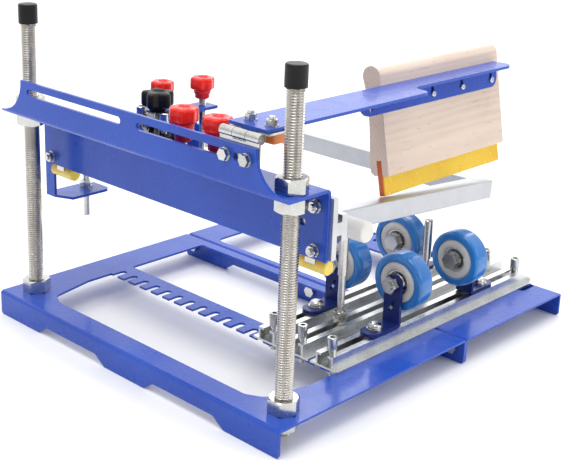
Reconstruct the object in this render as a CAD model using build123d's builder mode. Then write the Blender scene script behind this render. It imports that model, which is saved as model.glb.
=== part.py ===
from build123d import *
from math import sin, cos, tan, radians, hypot
import os

os.makedirs("parts", exist_ok=True)

# Hand press for printing on round things: a bolted sheet-steel base, two threaded
# columns, a folded beam that carries the sliding screen frame and the hinged squeegee,
# and two pairs of rollers on slotted rails.
# Millimetres. X runs along the beam, Y from the beam to the rear, Z up from the floor.
# The origin is under the middle of the base.

# ---------------------------------------------------------------- driving sizes
base_width = 350.0          # X
base_depth = 385.0          # Y, both plates together
base_top = 22.5             # upper face of the base plates
base_sheet = 2.0
base_bend = 3.0             # outer radius of the folded edges
seam_y = 39.0               # where the two plates are bolted together
foot_side = 57.0            # length of each outer foot along X
foot_centre = 50.0
foot_lift = 8.0             # underside of the flanges between the feet
foot_radius = 6.0
foot_slope = 12.0           # the feet widen into the flange over this length
foot_corner = 3.0
pad_size = 7.0              # rubber pads behind the feet
pad_height = 6.0
pad_xs = (-124.0, -21.0, 21.0, 124.0)
window_side = 34.0          # sheet left at each side of the windows
window_front = 23.0         # sheet left in front of the front window
corner_reach = 51.0         # how far the pads under the columns reach back
corner_width = 17.0         # how far they reach in
front_rim = 12.5            # sheet left on each side of the seam
comb_depth = 25.5           # the notched strip under the near ends of the rails
comb_back = -66.0
notch_pitch = 16.0
notch_width = 7.0
notch_depth = 13.5
tooth_offset = 1.0          # the row's middle tooth from the plate's centre line
rear_window_end = 149.0
rear_slot_length = 21.0
rear_slot_y = 179.0
rear_window_front = 48.0
rear_window_half = 142.0
window_corner = 9.0
seam_bolt_x = 163.0
seam_bolt_z = 13.0
seam_bolt_dia = 6.0

rod_dia = 14.0
rod_x = 155.0
rod_y = -167.0
rod_bottom = 3.5
rod_top = 281.0
rod_nut_wall = 4.0          # from the thread to a flat
rod_nut_height = 11.5
rod_clearance = 0.6         # radial, in the sheets the columns pass through
cap_wall = 1.2
cap_roof = 3.0
cap_length = 16.5

rail_length = 290.0
rail_start = -92.0
rail_pitch = 2 * notch_pitch
rail_tooth = 6              # the middle rail stands on this tooth, counted from the middle
rail_base_width = 30.0
rail_base_thick = 1.8
rail_body_width = 18.0
rail_height = 12.0
rail_wall = 1.8
rail_lip = 2.0
rail_slot = 6.8             # opening between the lips
rail_screw_inset = 9.0      # near screws, from the rail's end
rail_screw_dia = 5.0
rail_screw_head = 47.0      # top of the heads
rail_hole = 5.4
fastener_gap = 0.2          # between a screw and the plain bore round it

wheel_dia = 50.0
wheel_width = 18.0
hub_dia = 36.0
axle_z = 72.0
axle_dia = 8.0
bearing_dia = 22.0
bearing_width = 7.0
bracket_width = 17.0
bracket_sheet = 3.0
bracket_gap = 2.2           # wheel face to bracket
hub_recess = 1.5
foot_reach = 37.0
foot_bolt = 24.0            # bracket's wheel-side face to the slot bolt
front_right_wheel_y = 6.0
front_left_wheel_y = 5.0
rear_right_wheel_y = 87.0
rear_left_wheel_y = 86.0

pin_dia = 8.0
pin_neck_dia = 6.0
pin_upper = 37.0            # length of the thicker upper part
front_pin_y = -36.0
front_pin_top = 115.5
rear_pin_y = 82.0
rear_pin_top = 100.0

beam_half = 169.0
beam_sheet = 2.5
beam_bend = 4.0
wall_front = -188.0         # front face of the slotted wall
wall_top = 223.6
wall_flare = 30.0           # how far the wall's ends sweep in
flange_top = 193.0
web_front = -143.5          # front face of the hanging web
web_bottom = 137.5
slot_z = 214.5
slot_height = 6.0

guide_left = -166.0
guide_head_left = -146.0    # the head stops short of the end bracket
guide_right = 172.0
guide_base = 5.0
guide_bottom = 139.0
guide_top = 186.0
guide_head_z = 162.0        # middle of the guide's head
guide_stem = 5.0            # how far the stem stands out
guide_stem_height = 10.0
guide_head = 6.0
guide_head_height = 20.0
slide_gap = 0.3

leg_left = -179.0
leg_right = -166.5
leg_plate_right = -150.0
leg_top = 188.0
leg_notch = 141.5           # underside of the plate beside the leg
tongue_z = 104.5
tongue_rear = -85.0
tongue_right = -149.0
stud_x = -169.0
stud_y = -98.0
stud_bottom = 76.0
stud_top = 124.0
bumper_dia = 11.0
bumper_length = 30.0
bumper_end = 165.5
saddle_x = 151.0
saddle_width = 10.0
saddle_roof = 3.5

flange_knob_xs = (39.8, 76.8)
flange_knob_y = -165.0
flange_knob_top = 231.5

hinge_x = 120.5
hinge_half = 19.5
hinge_y = -183.0
hinge_z = 230.0
knuckle_radius = 3.8
hinge_pin_dia = 3.0
leaf_thick = 1.6
hinge_bolt_pitch = 21.0
hinge_bolt_dia = 5.0

arm_left = 99.5
arm_width = 38.5
arm_narrow = 20.5
arm_front = -176.0
arm_step = 12.0             # where the wide part ends
arm_tip = 160.0
arm_top = 235.0
arm_sheet = 2.5
arm_flange = 22.0
arm_flange_start = -33.0
arm_flange_end = 158.0
arm_bolt_y = -164.0
leaf_bottom = 206.0
arm_leaf_rear = -155.0
arm_slot = 9.5
slot_drop = -13.6           # middle of the slots below the arm's top
pad_x = 134.0

squeegee_lean = 11.0        # degrees
squeegee_near = -3.5
squeegee_length = 168.5
handle_thick = 17.5
handle_neck = 15.2
handle_above = 15.0
handle_below = 75.0
blade_thick = 5.0
blade_slot = 13.0
blade_offset = -9.0         # blade's middle from the holder's right face
blade_bottom = 92.0         # blade edge below the arm, along the lean
screw_dia = 3.2
screw_slot_width = 3.8
screw_depth = 11.0
squeegee_screw_drop = 15.5
squeegee_screw_ys = (61.5, 104.0, 148.5)

frame_left = -168.0
frame_right = 119.0
frame_front = -112.0
frame_length = 258.0
frame_tube = 17.0
frame_wall = 1.5
frame_front_top = 150.5
frame_tilt = 4.65           # degrees down towards the rear

carriage_x = -30.0
carriage_length = 76.0
carriage_rear = -119.0      # where the plate is bolted on
slider_bottom = 146.0
slider_top = 178.0
lip_thick = 6.0
lip_bottom = 133.5
plate_bottom = 131.0
plate_top = 203.0
high_tab = 214.6
tab_width = 18.0
tab_rear = -94.0
clamp_y = -103.0
clamp_left_x = -55.0
clamp_right_x = -5.7
left_knob_top = 226.0
right_knob_top = 238.0
bar_thick = 4.0
shelf_reach = 25.0
lock_x = -33.0
lock_y = -128.0
lock_top = 225.0
bracket_top = 202.0         # black cross-piece the locking screw passes through
cross_left = -58.0
cross_right = -14.0
cross_front = -139.0
cross_bolt_xs = (-48.0, -18.5)
cross_bolt_y = -132.0
plate_bolt_xs = (-50.0, -22.0)
plate_bolt_z = 190.0
side_knob_y = 48.0          # along the frame's side
side_knob_z = -11.5
side_knob_dia = 17.0
side_knob_length = 24.5

knob_stud_dia = 6.0
running_fit = 0.05          # radial, where a screw or shaft turns or slides
EPS = 0.01


# ---------------------------------------------------------------- small hardware
def hex_nut(flats, height, bore):
    """Hexagon nut on the origin, axis Z, with its corners turned down."""
    corner = flats / 3 ** 0.5
    with BuildPart() as nut:
        with BuildSketch():
            RegularPolygon(radius=flats / 2, side_count=6, major_radius=False)
            Circle(bore / 2, mode=Mode.SUBTRACT)
        extrude(amount=height)
        with BuildSketch(Plane.XZ):
            drop = (corner - flats / 2) * 0.6
            with BuildLine():
                Polyline((0, 0), (flats / 2, 0), (corner + EPS, drop), (corner + EPS, height - drop),
                         (flats / 2, height), (0, height), close=True)
            make_face()
        revolve(axis=Axis.Z, mode=Mode.INTERSECT)
    return nut.part


def washer(outer, bore, thick):
    """Flat washer on the origin, axis Z."""
    with BuildPart() as ring:
        with BuildSketch():
            Circle(outer / 2)
            Circle(bore / 2, mode=Mode.SUBTRACT)
        extrude(amount=thick)
    return ring.part


def hex_bolt(dia, flats, head, length):
    """Hexagon bolt, head above the origin, shank hanging down."""
    with BuildPart() as bolt:
        with BuildSketch():
            RegularPolygon(radius=flats / 2, side_count=6, major_radius=False)
        extrude(amount=head)
        with BuildSketch():
            Circle(dia / 2)
        extrude(amount=-length)
    return bolt.part


def socket_bolt(dia, head_dia, head, length):
    """Socket cap bolt, head above the origin, shank hanging down."""
    with BuildPart() as bolt:
        with BuildSketch():
            Circle(head_dia / 2)
        extrude(amount=head)
        chamfer(bolt.edges().sort_by(Axis.Z)[-1], head_dia * 0.06)
        with BuildSketch(Plane.XY.offset(head)):
            RegularPolygon(radius=dia * 0.42, side_count=6, major_radius=False)
        extrude(amount=-head * 0.55, mode=Mode.SUBTRACT)
        with BuildSketch():
            Circle(dia / 2)
        extrude(amount=-length)
    return bolt.part


def dome_bolt(dia, head_dia, head, length):
    """Button-head bolt, head above the origin, shank hanging down."""
    with BuildPart() as bolt:
        with BuildSketch():
            Circle(head_dia / 2)
        extrude(amount=head)
        fillet(bolt.edges().sort_by(Axis.Z)[-1], head * 0.75)
        with BuildSketch():
            Circle(dia / 2)
        extrude(amount=-length)
    return bolt.part


def lobed_knob(dia, height, hub_dia, hub_height, lobes):
    """Lobed hand knob standing on its stepped hub."""
    with BuildPart() as knob:
        with BuildSketch(Plane.XY.offset(hub_height)):
            Circle(dia / 2 * 0.84)
            with PolarLocations(dia / 2 * 0.76, lobes):
                Circle(dia / 2 * 0.24)
        extrude(amount=height - hub_height)
        with BuildSketch():
            Circle(hub_dia / 2)
        extrude(amount=hub_height)
    return knob.part


def rod_part(dia, bottom, top):
    """Plain round bar on the Z axis."""
    with BuildPart() as bar:
        with BuildSketch(Plane.XY.offset(bottom)):
            Circle(dia / 2)
        extrude(amount=top - bottom)
    return bar.part


def finish(builder, name):
    """Label a finished piece and write it."""
    builder.part.label = name
    export_step(builder.part, f"parts/{name}.step")


TO_FRONT = (90, 0, 0)        # turns +Z to -Y: a bolt head towards the front
TO_REAR = (-90, 0, 0)        # turns +Z to +Y
TO_RIGHT = (0, 90, 0)        # turns +Z to +X


rod_hole = rod_dia + 2 * rod_clearance
rod_nut_flats = rod_dia + 2 * rod_nut_wall
cap_dia = rod_dia + 2 * cap_wall
base_front = -base_depth / 2
base_rear = base_depth / 2
base_half = base_width / 2
window_half = base_half - window_side
tooth_xs = [tooth_offset + notch_pitch * i for i in range(-9, 10)]
notch_xs = [x + notch_pitch / 2 for x in tooth_xs if abs(x + notch_pitch / 2) < window_half - 1]
rear_slot_xs = [x for x in tooth_xs if abs(x) < base_half - 2 * notch_width]
comb_tip = comb_back - comb_depth
rail_x = tooth_offset + rail_tooth * notch_pitch
rail_xs = [rail_x - rail_pitch, rail_x, rail_x + rail_pitch]
rail_near_y = rail_start + rail_screw_inset
rail_far_y = rear_slot_y + 2.5
seat_z = base_top + rail_base_thick
rail_top = base_top + rail_height

# hardware used in several places, each on the origin with its axis along Z
m5_nut = hex_nut(8.0, 4.0, rail_screw_dia)
m6_nut = hex_nut(10.0, 5.0, seam_bolt_dia)
m6_bolt = hex_bolt(seam_bolt_dia, 10.0, 4.0, 2 * base_sheet + 7.0)


# ---------------------------------------------------------------- base plates
def folded_plate(front, rear, window, feet_everywhere):
    """Plate folded down along both long edges, with feet cut in its flanges."""
    with BuildPart() as plate:
        with BuildSketch(Plane.YZ.offset(-base_half)) as section:
            with BuildLine():
                Polyline((front, 0), (front, base_top), (rear, base_top), (rear, 0),
                         (rear - base_sheet, 0), (rear - base_sheet, base_top - base_sheet),
                         (front + base_sheet, base_top - base_sheet), (front + base_sheet, 0), close=True)
            make_face()
            fillet(section.vertices().filter_by(lambda v: v.Y > base_top - 0.1), base_bend)
            inner = section.vertices().filter_by(lambda v: abs(v.Y - base_top + base_sheet) < 0.1)
            fillet(inner, base_bend - base_sheet)
        extrude(amount=base_width)
        with BuildSketch(Plane.XZ.offset(-front + 1)) as gaps:
            for side in (-1, 1):
                outer = side * (base_half - foot_side)
                mid = side * foot_centre / 2
                with BuildLine():
                    Polyline((outer, -1), (outer, 0), (outer - side * foot_slope, foot_lift),
                             (mid + side * foot_slope, foot_lift), (mid, 0), (mid, -1), close=True)
                make_face()
            fillet(gaps.vertices().filter_by(lambda v: v.Y > foot_lift - 0.1), foot_radius)
        extrude(amount=-(base_sheet + 2), mode=Mode.SUBTRACT)
        with BuildSketch(Plane.XZ.offset(-rear - 1)) as far_gaps:
            for side in (-1, 1):
                outer = side * (base_half - foot_side)
                mid = side * foot_centre / 2 if feet_everywhere else 0
                with BuildLine():
                    Polyline((outer, -1), (outer, 0), (outer - side * foot_slope, foot_lift),
                             (mid + side * foot_slope * (1 if mid else 0), foot_lift),
                             (mid, 0), (mid, -1), close=True)
                make_face()
        extrude(amount=base_sheet + 2, mode=Mode.SUBTRACT)
        fillet(plate.edges().filter_by(Axis.Y).group_by(Axis.Z)[0], foot_corner)
    return plate.part


front_blank = folded_plate(base_front, seam_y, None, False)
with BuildPart() as base_front_plate:
    add(front_blank)
    with BuildSketch(Plane.XY.offset(base_top + 1)) as openings:
        edge = base_front + window_front
        with BuildLine():
            Polyline((-window_half, comb_tip), (-window_half, edge + corner_reach),
                     (-window_half + corner_width * 0.55, edge + corner_width * 0.45),
                     (-window_half + corner_width * 1.4, edge),
                     (window_half - corner_width * 1.4, edge),
                     (window_half - corner_width * 0.55, edge + corner_width * 0.45),
                     (window_half, edge + corner_reach), (window_half, comb_tip), close=True)
        make_face()
        fillet(openings.vertices().filter_by(lambda v: v.Y < comb_tip - 1), window_corner)
        with Locations((0, (comb_back + seam_y - front_rim) / 2)):
            RectangleRounded(2 * window_half, seam_y - front_rim - comb_back, window_corner / 3)
    extrude(amount=-base_sheet - 2, mode=Mode.SUBTRACT)
    with BuildSketch(Plane.XY.offset(base_top + 1)) as comb:
        with Locations(*[(x, comb_tip + (notch_depth - notch_width / 2) / 2 - 1) for x in notch_xs]):
            Rectangle(notch_width, notch_depth - notch_width / 2 + 2)
        with Locations(*[(x, comb_tip + notch_depth - notch_width / 2) for x in notch_xs]):
            Circle(notch_width / 2)
    extrude(amount=-base_sheet - 2, mode=Mode.SUBTRACT)
    with Locations(*[(x, rail_near_y, base_top) for x in rail_xs]):
        Hole(rail_hole / 2, depth=2 * base_sheet)
    with Locations((-rod_x, rod_y, base_top), (rod_x, rod_y, base_top)):
        Hole(rod_hole / 2, depth=2 * base_sheet)
    with Locations(*[Location((x, seam_y, seam_bolt_z), TO_REAR) for x in (-seam_bolt_x, 0, seam_bolt_x)]):
        Hole(seam_bolt_dia / 2 + fastener_gap, depth=2 * base_sheet)
finish(base_front_plate, "base_front_plate")

rear_blank = folded_plate(seam_y, base_rear, None, True)
with BuildPart() as base_rear_plate:
    add(rear_blank)
    with BuildSketch(Plane.XY.offset(base_top + 1)):
        with Locations((0, (rear_window_front + rear_window_end) / 2)):
            RectangleRounded(2 * rear_window_half, rear_window_end - rear_window_front, window_corner)
        with Locations(*[(x, rear_slot_y) for x in rear_slot_xs]):
            SlotOverall(rear_slot_length, notch_width, rotation=90)
    extrude(amount=-base_sheet - 2, mode=Mode.SUBTRACT)
    with Locations(*[Location((x, seam_y, seam_bolt_z), TO_FRONT) for x in (-seam_bolt_x, 0, seam_bolt_x)]):
        Hole(seam_bolt_dia / 2 + fastener_gap, depth=2 * base_sheet)
finish(base_rear_plate, "base_rear_plate")

with BuildPart() as base_joint_fasteners:
    for x in (-seam_bolt_x, 0, seam_bolt_x):
        with Locations((x, seam_y - base_sheet, seam_bolt_z)):
            add(m6_bolt, rotation=TO_FRONT)
        with Locations((x, seam_y + base_sheet, seam_bolt_z)):
            add(m6_nut, rotation=TO_REAR)
finish(base_joint_fasteners, "base_joint_fasteners")

with BuildPart() as foot_pads:
    for y, turn in ((base_front + base_sheet, 1), (base_rear - base_sheet, -1)):
        with BuildSketch() as pads:
            with Locations(*[(x, y + turn * pad_size / 2) for x in pad_xs]):
                Rectangle(pad_size, pad_size)
        extrude(amount=pad_height)
    fillet(foot_pads.edges().filter_by(Axis.Z), pad_size * 0.2)
finish(foot_pads, "foot_pads")

# ---------------------------------------------------------------- columns
column = rod_part(rod_dia, rod_bottom, rod_top)
column = chamfer(column.edges().filter_by(GeomType.CIRCLE), 1.2)
for side, name in ((-1, "left_threaded_rod"), (1, "right_threaded_rod")):
    with BuildPart() as threaded_rod:
        with Locations((side * rod_x, rod_y, 0)):
            add(column)
    finish(threaded_rod, name)

cap_bottom = rod_top + cap_roof - cap_length
with BuildPart() as rod_caps:
    with BuildSketch(Plane.XY.offset(cap_bottom)):
        with Locations((-rod_x, rod_y), (rod_x, rod_y)):
            Circle(cap_dia / 2)
    extrude(amount=cap_length)
    fillet(rod_caps.edges().group_by(Axis.Z)[-1], 1.5)
    with BuildSketch(Plane.XY.offset(cap_bottom)):
        with Locations((-rod_x, rod_y), (rod_x, rod_y)):
            Circle(rod_dia / 2)
    extrude(amount=cap_length - cap_roof, mode=Mode.SUBTRACT)
finish(rod_caps, "rod_caps")

column_nut = hex_nut(rod_nut_flats, rod_nut_height, rod_dia)
clamp_nut = hex_nut(rod_nut_flats, rod_nut_height, rod_dia + 2 * running_fit)
with BuildPart() as rod_base_nuts:
    with Locations(*[(s * rod_x, rod_y, z) for s in (-1, 1)
                     for z in (base_top, base_top - base_sheet - rod_nut_height)]):
        add(column_nut)
finish(rod_base_nuts, "rod_base_nuts")
with BuildPart() as beam_nuts:
    with Locations(*[(s * rod_x, rod_y, z) for s in (-1, 1)
                     for z in (flange_top, flange_top - beam_sheet - rod_nut_height)]):
        add(clamp_nut)
finish(beam_nuts, "beam_nuts")

# ---------------------------------------------------------------- rails
half_base = rail_base_width / 2
half_body = rail_body_width / 2
half_room = half_body - rail_wall
for x, name in zip(rail_xs, ("left_rail", "middle_rail", "right_rail")):
    with BuildPart() as rail:
        with BuildSketch(Plane.XZ.offset(-rail_start)):
            with BuildLine():
                Polyline((x - half_base, base_top), (x + half_base, base_top), (x + half_base, seat_z),
                         (x + half_body, seat_z), (x + half_body, rail_top), (x + rail_slot / 2, rail_top),
                         (x + rail_slot / 2, rail_top - rail_lip), (x + half_room, rail_top - rail_lip),
                         (x + half_room, seat_z), (x - half_room, seat_z),
                         (x - half_room, rail_top - rail_lip), (x - rail_slot / 2, rail_top - rail_lip),
                         (x - rail_slot / 2, rail_top), (x - half_body, rail_top),
                         (x - half_body, seat_z), (x - half_base, seat_z), close=True)
            make_face()
        extrude(amount=-rail_length)
        with Locations((x, rail_near_y, seat_z), (x, rail_far_y, seat_z)):
            Hole(rail_hole / 2, depth=2 * rail_base_thick)
    finish(rail, name)

sleeve = washer(8.0, rail_screw_dia + 2 * fastener_gap, rail_screw_head - 5.0 - rail_top)
rail_screw = socket_bolt(rail_screw_dia, 8.5, 5.0, rail_screw_head - 5.0 - base_top + base_sheet + 6.5)
with BuildPart() as rail_fasteners:
    for x in rail_xs:
        for y in (rail_near_y, rail_far_y):
            with Locations((x, y, rail_screw_head - 5.0)):
                add(rail_screw)
            with Locations((x, y, rail_top)):
                add(sleeve)
            with Locations((x, y, base_top - base_sheet - 4.0)):
                add(m5_nut)
finish(rail_fasteners, "rail_fasteners")

# ---------------------------------------------------------------- wheels
clear_base = rail_top + slide_gap
slot_nut_top = rail_top - rail_lip - slide_gap
tyre_blank = washer(wheel_dia, hub_dia, wheel_width)
tyre_blank = fillet(tyre_blank.edges().filter_by(GeomType.CIRCLE).sort_by(SortBy.RADIUS)[-2:], 1.5)
with BuildPart() as hub_blank:
    with BuildSketch():
        Circle(hub_dia / 2)
        Circle(axle_dia / 2 + running_fit, mode=Mode.SUBTRACT)
    extrude(amount=wheel_width)
    with BuildSketch():
        Circle(bearing_dia / 2)
        Circle(bearing_dia / 2 - 3.5, mode=Mode.SUBTRACT)
    extrude(amount=hub_recess, mode=Mode.SUBTRACT)
    with BuildSketch(Plane.XY.offset(wheel_width)):
        Circle(bearing_dia / 2)
        Circle(bearing_dia / 2 - 3.5, mode=Mode.SUBTRACT)
    extrude(amount=-hub_recess, mode=Mode.SUBTRACT)
hub_solid = hub_blank.part
axle_bolt = hex_bolt(axle_dia, 13.0, 5.3, wheel_width + 2 * bracket_gap + bracket_sheet + 8.0)
axle_spacer = washer(14.0, axle_dia, bracket_gap - slide_gap)
axle_washer = washer(16.0, axle_dia, bracket_gap - slide_gap)
axle_nut = hex_nut(13.0, 6.5, axle_dia)
foot_screw = dome_bolt(6.0, 12.0, 4.5, clear_base + bracket_sheet + 1.2 - seat_z - 1.5)
foot_washer = washer(14.0, 6.0, 1.2)
with BuildPart() as slot_nut:
    with BuildSketch(Plane.XY.offset(slot_nut_top)):
        Rectangle(2 * half_room - 2 * slide_gap, 12.0)
        Circle(3.0, mode=Mode.SUBTRACT)
    extrude(amount=-4.0)
slot_nut_solid = slot_nut.part

wheels = (("front_right", rail_xs[2], front_right_wheel_y, -1), ("front_left", rail_xs[0], front_left_wheel_y, -1),
          ("rear_right", rail_xs[2], rear_right_wheel_y, 1), ("rear_left", rail_xs[0], rear_left_wheel_y, 1))
for place, x, mid_y, out in wheels:
    face = mid_y - wheel_width / 2          # the tyre's nearer face
    spin = Plane(origin=(x, face, axle_z), x_dir=(1, 0, 0), z_dir=(0, 1, 0)).location
    with BuildPart() as wheel_tyre:
        with Locations(spin):
            add(tyre_blank)
    finish(wheel_tyre, f"wheel_tyre_{place}")
    with BuildPart() as wheel_hub:
        with Locations(spin):
            add(hub_solid)
    finish(wheel_hub, f"wheel_hub_{place}")

    inner = mid_y + out * (wheel_width / 2 + bracket_gap)
    low = min(inner, inner + out * bracket_sheet)
    foot_y = inner + out * foot_bolt
    foot_end = inner + out * foot_reach
    with BuildPart() as wheel_bracket:
        with BuildSketch(Plane.XZ.offset(-low)):
            with Locations((x, (clear_base + axle_z) / 2)):
                Rectangle(bracket_width, axle_z - clear_base)
            with Locations((x, axle_z)):
                Circle(bracket_width / 2)
                Circle(axle_dia / 2 + fastener_gap, mode=Mode.SUBTRACT)
            with Locations((x, (clear_base + axle_z) / 2 - 1.5)):
                SlotOverall(11.0, 3.2, rotation=60, mode=Mode.SUBTRACT)
        extrude(amount=-bracket_sheet)
        with BuildSketch(Plane.XY.offset(clear_base)):
            with Locations((x, (inner + foot_end) / 2)):
                Rectangle(bracket_width, foot_reach)
            with Locations((x, foot_y)):
                Circle(3.0 + fastener_gap, mode=Mode.SUBTRACT)
        extrude(amount=bracket_sheet)
        tips = wheel_bracket.edges().filter_by(Axis.Z).sort_by(Axis.Y)
        fillet(tips[-2:] if out > 0 else tips[:2], bracket_width * 0.42)
        heel = wheel_bracket.edges().filter_by(Axis.X).filter_by_position(Axis.Z, clear_base - 0.1, clear_base + 0.1)
        fillet(heel.sort_by(Axis.Y)[0 if out > 0 else -1], bracket_sheet * 0.8)
    finish(wheel_bracket, f"wheel_bracket_{place}")

    head_y = mid_y - out * (wheel_width / 2 + bracket_gap)
    outer = inner + out * bracket_sheet
    turn_out = TO_REAR if out > 0 else TO_FRONT
    turn_in = TO_FRONT if out > 0 else TO_REAR
    with BuildPart() as wheel_bolts:
        with Locations((x, head_y, axle_z)):
            add(axle_bolt, rotation=turn_in)
            add(axle_washer, rotation=turn_out)
        with Locations((x, inner, axle_z)):
            add(axle_spacer, rotation=turn_in)
        with Locations((x, outer, axle_z)):
            add(axle_nut, rotation=turn_out)
        with Locations((x, foot_y, clear_base + bracket_sheet)):
            add(foot_washer)
        with Locations((x, foot_y, clear_base + bracket_sheet + 1.2)):
            add(foot_screw)
        with Locations((x, foot_y, 0)):
            add(slot_nut_solid)
    finish(wheel_bolts, f"wheel_bolts_{place}")

# ---------------------------------------------------------------- stop pins
with BuildPart() as pin_slot_nut:
    with BuildSketch(Plane.XY.offset(slot_nut_top)):
        Rectangle(2 * half_room - 2 * slide_gap, 12.0)
        Circle(pin_neck_dia / 2, mode=Mode.SUBTRACT)
    extrude(amount=-4.0)
pin_nut = hex_nut(10.0, 5.0, pin_neck_dia)
for y, top, name in ((front_pin_y, front_pin_top, "stop_pin_front"), (rear_pin_y, rear_pin_top, "stop_pin_rear")):
    with BuildPart() as stop_pin:
        with BuildSketch(Plane.XY.offset(seat_z + 0.7)):
            with Locations((rail_x, y)):
                Circle(pin_neck_dia / 2)
        extrude(amount=top - pin_upper - seat_z - 0.7)
        with BuildSketch(Plane.XY.offset(top - pin_upper)):
            with Locations((rail_x, y)):
                Circle(pin_dia / 2)
        extrude(amount=pin_upper)
        chamfer(stop_pin.edges().group_by(Axis.Z)[-1], 0.8)
        with Locations((rail_x, y, 0)):
            add(pin_slot_nut.part)
        with Locations((rail_x, y, clear_base), (rail_x, y, clear_base + 5.6)):
            add(pin_nut)
    finish(stop_pin, name)

# ---------------------------------------------------------------- beam
beam_rear = web_front + beam_sheet
slots = ((-130.5, -7.0), (12.0, 113.0), (117.0, 135.0))
web_bolt_x = 158.0
web_bolt_zs = (144.5, 178.0)
with BuildPart() as beam:
    with BuildSketch(Plane.YZ.offset(-beam_half)) as fold:
        with BuildLine():
            Polyline((wall_front, wall_top), (wall_front + beam_sheet, wall_top),
                     (wall_front + beam_sheet, flange_top), (beam_rear, flange_top),
                     (beam_rear, web_bottom), (web_front, web_bottom),
                     (web_front, flange_top - beam_sheet), (wall_front, flange_top - beam_sheet), close=True)
        make_face()
        near = fold.vertices().filter_by(lambda v: abs(v.Y - flange_top + beam_sheet / 2) < beam_sheet)
        outside = near.filter_by(lambda v: v.X < wall_front + 0.1 or v.X > beam_rear - 0.1)
        fillet(outside, beam_bend)
        within = fold.vertices().filter_by(
            lambda v: (abs(v.X - wall_front - beam_sheet) < 0.1 and abs(v.Y - flange_top) < 0.1)
            or (abs(v.X - web_front) < 0.1 and abs(v.Y - flange_top + beam_sheet) < 0.1))
        fillet(within, beam_bend - beam_sheet)
    extrude(amount=2 * beam_half)
    with BuildSketch(Plane.XZ.offset(-wall_front + 1)):
        for side in (-1, 1):
            inside = side * (beam_half - wall_flare)
            edge = side * (beam_half + 1)
            with BuildLine():
                arc = ThreePointArc((inside, wall_top), (inside + side * wall_flare * 0.24, flange_top + 10.5),
                                    (side * beam_half, flange_top + 0.5))
                Polyline(arc @ 1, (edge, flange_top + 0.5), (edge, wall_top + 1), (inside, wall_top + 1), arc @ 0)
            make_face()
    extrude(amount=-(beam_sheet + 2), mode=Mode.SUBTRACT)
    with BuildSketch(Plane.XZ.offset(-wall_front + 1)):
        for start, end in slots:
            with Locations(((start + end) / 2, slot_z)):
                SlotOverall(end - start, slot_height)
    extrude(amount=-(beam_sheet + 2), mode=Mode.SUBTRACT)
    with Locations((-rod_x, rod_y, flange_top), (rod_x, rod_y, flange_top)):
        Hole(rod_hole / 2, depth=2 * beam_sheet)
    with Locations(*[(x, flange_knob_y, flange_top) for x in flange_knob_xs]):
        Hole(knob_stud_dia / 2 + running_fit, depth=2 * beam_sheet)
    with Locations(*[Location((x, web_front, z), TO_REAR) for x in (-web_bolt_x, web_bolt_x) for z in web_bolt_zs]):
        Hole(2.5 + fastener_gap, depth=2 * beam_sheet)
    with Locations(Location((145.0, web_front, 163.0), TO_REAR)):
        Hole(3.0, depth=2 * beam_sheet)
finish(beam, "beam")

# guide bar bolted behind the web: flat bar, stem and head in one extrusion
guide_face = beam_rear + guide_base
stem_end = guide_face + guide_stem
head_end = stem_end + guide_head
with BuildPart() as guide_rail:
    with BuildSketch(Plane.YZ.offset(guide_left)):
        with Locations(((beam_rear + guide_face) / 2, (guide_bottom + guide_top) / 2)):
            Rectangle(guide_base, guide_top - guide_bottom)
    extrude(amount=guide_right - guide_left)
    with BuildSketch(Plane.YZ.offset(guide_head_left)):
        with Locations(((guide_face + stem_end) / 2, guide_head_z)):
            Rectangle(guide_stem + 2 * EPS, guide_stem_height)
        with Locations(((stem_end + head_end) / 2, guide_head_z)):
            Rectangle(guide_head, guide_head_height)
    extrude(amount=guide_right - guide_head_left)
    with Locations(*[Location((x, guide_face, z), TO_REAR) for x in (-web_bolt_x, web_bolt_x) for z in web_bolt_zs]):
        Hole(2.5 + fastener_gap, depth=2 * guide_base)
finish(guide_rail, "guide_rail")

# end bracket: a plate behind the guide's left end, a leg and a tongue folded rearwards
bracket_rear = guide_face + beam_sheet
with BuildPart() as left_bracket:
    with BuildSketch(Plane.XZ.offset(-guide_face)) as leg:
        with BuildLine():
            Polyline((leg_left, tongue_z - beam_sheet), (leg_left, leg_top), (leg_plate_right, leg_top),
                     (leg_plate_right, leg_notch), (leg_right, leg_notch), (leg_right, tongue_z - beam_sheet),
                     close=True)
        make_face()
        with Locations(*[(-web_bolt_x, z) for z in web_bolt_zs]):
            Circle(2.5 + fastener_gap, mode=Mode.SUBTRACT)
    extrude(amount=-beam_sheet)
    with BuildSketch(Plane.XY.offset(tongue_z - beam_sheet)) as tongue:
        with BuildLine():
            Polyline((leg_left, guide_face), (leg_left, tongue_rear), (tongue_right, tongue_rear),
                     (tongue_right, guide_face + 8), (leg_right, guide_face), close=True)
        make_face()
        fillet(tongue.vertices().filter_by(lambda v: v.Y > guide_face + 20), 6)
        with Locations((stud_x, stud_y)):
            Circle(3.0 + fastener_gap, mode=Mode.SUBTRACT)
    extrude(amount=beam_sheet)
finish(left_bracket, "left_bracket")

stud_washer = washer(12.0, 6.0, 1.2)
with BuildPart() as adjusting_fasteners:
    with BuildSketch(Plane.XY.offset(stud_bottom)):
        with Locations((stud_x, stud_y)):
            Circle(3.0)
    extrude(amount=stud_top - stud_bottom)
    with Locations((stud_x, stud_y, tongue_z), (stud_x, stud_y, tongue_z - beam_sheet - 1.2)):
        add(stud_washer)
    with Locations((stud_x, stud_y, tongue_z + 1.2), (stud_x, stud_y, tongue_z - beam_sheet - 6.2)):
        add(m6_nut)
finish(adjusting_fasteners, "adjusting_fasteners")

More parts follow.
